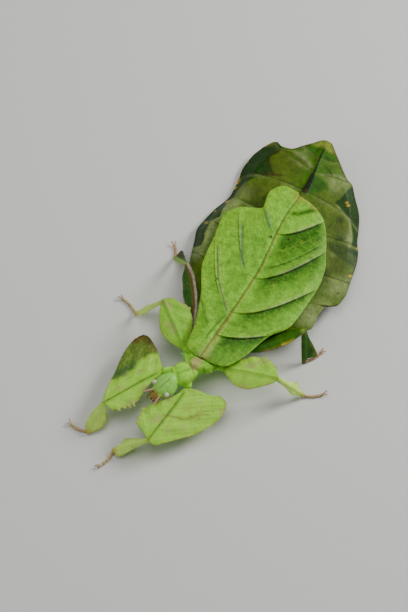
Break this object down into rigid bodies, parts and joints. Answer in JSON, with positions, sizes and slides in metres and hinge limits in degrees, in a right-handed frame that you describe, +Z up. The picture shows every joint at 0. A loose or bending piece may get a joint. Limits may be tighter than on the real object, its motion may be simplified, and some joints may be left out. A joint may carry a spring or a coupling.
{
  "type": "leaf insect",
  "caption": "Leaf insect, adult female: flat leaf-shaped body and forewings with raised veins, lobed toothed legs, small round head; a still life-size model.",
  "frame": {"origin": "on the floor under the middle of the insect's bounding box", "axes": "+Z up; +Y towards the tail along the body; +X towards the insect's left side"},
  "size_m": [0.0736, 0.1304, 0.0134],
  "materials": {
    "wing_green": "leaf-green forewing membrane, satin, raised veins",
    "abdomen_green": "olive-green translucent-looking cuticle, satin",
    "limb_green": "yellow-green leaf-like leg cuticle, satin",
    "hind_limb_green": "dark green leaf-like leg cuticle, satin",
    "head_green": "blue-green beaded head cuticle, glossy",
    "chest_green": "yellow-green chest cuticle, satin",
    "tan_cuticle": "pinkish tan cuticle, matt",
    "eye_cream": "pale cream compound eye, glossy",
    "mouth_brown": "brown mouthpart cuticle, matt"
  },
  "bodies": {
    "root": {"abdomen": "abdomen_green", "antenna_l": "tan_cuticle", "antenna_r": "tan_cuticle", "eye_l": "eye_cream", "eye_r": "eye_cream", "fore_femur_l": "limb_green", "fore_femur_r": "limb_green", "fore_tarsus_l": "tan_cuticle", "fore_tarsus_r": "tan_cuticle", "fore_tibia_l": "limb_green", "fore_tibia_r": "limb_green", "head": "head_green", "hind_femur_l": "hind_limb_green", "hind_femur_r": "hind_limb_green", "hind_tarsus_l": "tan_cuticle", "hind_tarsus_r": "tan_cuticle", "hind_tibia_l": "hind_limb_green", "hind_tibia_r": "hind_limb_green", "mesothorax": "tan_cuticle", "metathorax": "chest_green", "mid_femur_l": "limb_green", "mid_femur_r": "limb_green", "mid_tarsus_l": "tan_cuticle", "mid_tarsus_r": "tan_cuticle", "mid_tibia_l": "limb_green", "mid_tibia_r": "limb_green", "mouthparts": "mouth_brown", "prothorax": "chest_green", "tegmen_l": "wing_green", "tegmen_r": "wing_green"}
  },
  "joints": []
}
